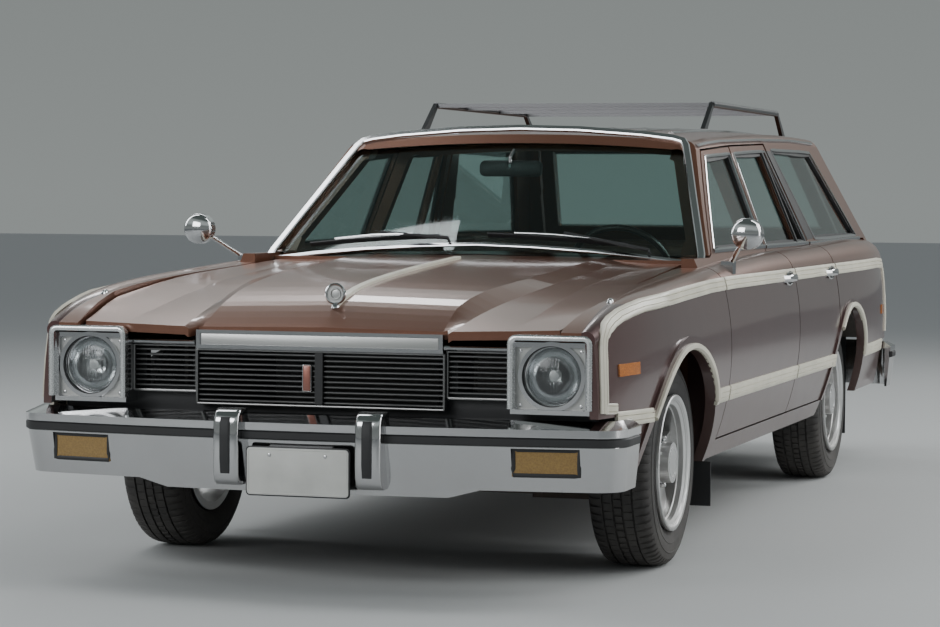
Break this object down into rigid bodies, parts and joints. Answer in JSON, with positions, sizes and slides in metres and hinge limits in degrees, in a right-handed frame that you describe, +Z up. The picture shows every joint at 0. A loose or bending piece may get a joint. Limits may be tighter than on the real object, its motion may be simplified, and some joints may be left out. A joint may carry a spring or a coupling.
{
  "type": "station wagon",
  "caption": "Long four-door station wagon with opening doors, hood and tailgate, steered front wheels and a roof rack.",
  "frame": {"origin": "centre of the overall box on the road surface, z 0 at the tyres' feet", "axes": "+X to the car's left, -Y to the front, +Z up"},
  "size_m": [2.034, 5.13, 1.4969],
  "materials": {
    "body_paint": "metallic gloss",
    "underbody": "matte black",
    "black_trim": "matte black",
    "chrome": "polished",
    "lamp_glass": "clear ribbed",
    "amber_lens": "gloss",
    "red_lens": "gloss",
    "glass": "tinted",
    "interior": "grained",
    "upholstery": "woven",
    "cast": "painted",
    "exhaust_steel": "dull",
    "rubber": "matte",
    "wheel_alloy": "polished",
    "tyre": "matte"
  },
  "bodies": {
    "body": {"underbody": "underbody", "roof_panel": "body_paint", "body_sides": "body_paint", "front_fenders": "body_paint", "cowl_panel": "body_paint", "nose_panel": "black_trim", "grille": "chrome", "grille_header": "chrome", "headlamp_bezels": "chrome", "headlamps": "lamp_glass", "front_bumper": "chrome", "rear_bumper": "chrome", "bumper_guards": "chrome", "turn_lamps": "amber_lens", "side_markers": "amber_lens", "tail_lamps": "red_lens", "windshield": "glass", "quarter_glasses": "glass", "roof_rack": "chrome", "dashboard": "interior", "front_seat": "upholstery", "rear_seat": "upholstery", "engine_block": "cast", "front_crossmember": "underbody", "rear_axle": "underbody", "leaf_springs": "underbody", "drive_shaft": "underbody", "exhaust": "exhaust_steel", "fuel_tank": "underbody", "mud_flaps": "rubber", "quarter_panels": "body_paint", "cargo_floor": "underbody", "wheelhouses": "underbody", "frame_rails": "underbody"},
    "hood": {"hood": "body_paint"},
    "tailgate": {"tailgate": "body_paint", "tailgate_glass": "glass"},
    "steering_wheel": {"steering_wheel": "interior"},
    "door_front_left": {"door_front_left": "body_paint", "glass_front_left": "glass", "mirror_left": "chrome"},
    "door_rear_left": {"door_rear_left": "body_paint", "glass_rear_left": "glass"},
    "knuckle_left": {"knuckle_left": "underbody"},
    "wheel_front_left": {"rim_front_left": "wheel_alloy", "tyre_front_left": "tyre"},
    "wheel_rear_left": {"rim_rear_left": "wheel_alloy", "tyre_rear_left": "tyre"},
    "door_front_right": {"door_front_right": "body_paint", "glass_front_right": "glass", "mirror_right": "chrome"},
    "door_rear_right": {"door_rear_right": "body_paint", "glass_rear_right": "glass"},
    "knuckle_right": {"knuckle_right": "underbody"},
    "wheel_front_right": {"rim_front_right": "wheel_alloy", "tyre_front_right": "tyre"},
    "wheel_rear_right": {"rim_rear_right": "wheel_alloy", "tyre_rear_right": "tyre"}
  },
  "joints": [
    {"name": "hood_hinge", "type": "hinge", "parent": "body", "child": "hood", "pos_m": [0, -0.856, 0.93], "axis": [-1, 0, 0], "range_deg": [0, 50]},
    {"name": "tailgate_hinge", "type": "hinge", "parent": "body", "child": "tailgate", "pos_m": [0, 1.915, 1.374], "axis": [1, 0, 0], "range_deg": [0, 80]},
    {"name": "steer_left", "type": "hinge", "parent": "body", "child": "knuckle_left", "pos_m": [0.7, -1.564, 0.32], "axis": [0, 0, 1], "range_deg": [-32, 32]},
    {"name": "steer_right", "type": "hinge", "parent": "body", "child": "knuckle_right", "pos_m": [-0.7, -1.564, 0.32], "axis": [0, 0, 1], "range_deg": [-32, 32]},
    {"name": "steering_wheel_turn", "type": "hinge", "parent": "body", "child": "steering_wheel", "pos_m": [0.37, -0.32, 0.858], "axis": [0, 0.9061, 0.423], "range_deg": [-460, 460]},
    {"name": "door_front_left_hinge", "type": "hinge", "parent": "body", "child": "door_front_left", "pos_m": [0.926, -1.012, 0.8], "axis": [0, 0, -1], "range_deg": [0, 65]},
    {"name": "door_rear_left_hinge", "type": "hinge", "parent": "body", "child": "door_rear_left", "pos_m": [0.926, 0.159, 0.8], "axis": [0, 0, -1], "range_deg": [0, 65]},
    {"name": "wheel_front_left_spin", "type": "hinge", "parent": "knuckle_left", "child": "wheel_front_left", "pos_m": [0.762, -1.564, 0.32], "axis": [1, 0, 0], "continuous": true},
    {"name": "wheel_rear_left_spin", "type": "hinge", "parent": "body", "child": "wheel_rear_left", "pos_m": [0.743, 1.299, 0.32], "axis": [1, 0, 0], "continuous": true},
    {"name": "door_front_right_hinge", "type": "hinge", "parent": "body", "child": "door_front_right", "pos_m": [-0.926, -1.012, 0.8], "axis": [0, 0, 1], "range_deg": [0, 65]},
    {"name": "door_rear_right_hinge", "type": "hinge", "parent": "body", "child": "door_rear_right", "pos_m": [-0.926, 0.159, 0.8], "axis": [0, 0, 1], "range_deg": [0, 65]},
    {"name": "wheel_front_right_spin", "type": "hinge", "parent": "knuckle_right", "child": "wheel_front_right", "pos_m": [-0.762, -1.564, 0.32], "axis": [1, 0, 0], "continuous": true},
    {"name": "wheel_rear_right_spin", "type": "hinge", "parent": "body", "child": "wheel_rear_right", "pos_m": [-0.743, 1.299, 0.32], "axis": [1, 0, 0], "continuous": true}
  ],
  "couplings": [
    {"joint": "steer_right", "follows": "steer_left", "ratio": 1},
    {"joint": "steering_wheel_turn", "follows": "steer_left", "ratio": 14}
  ]
}
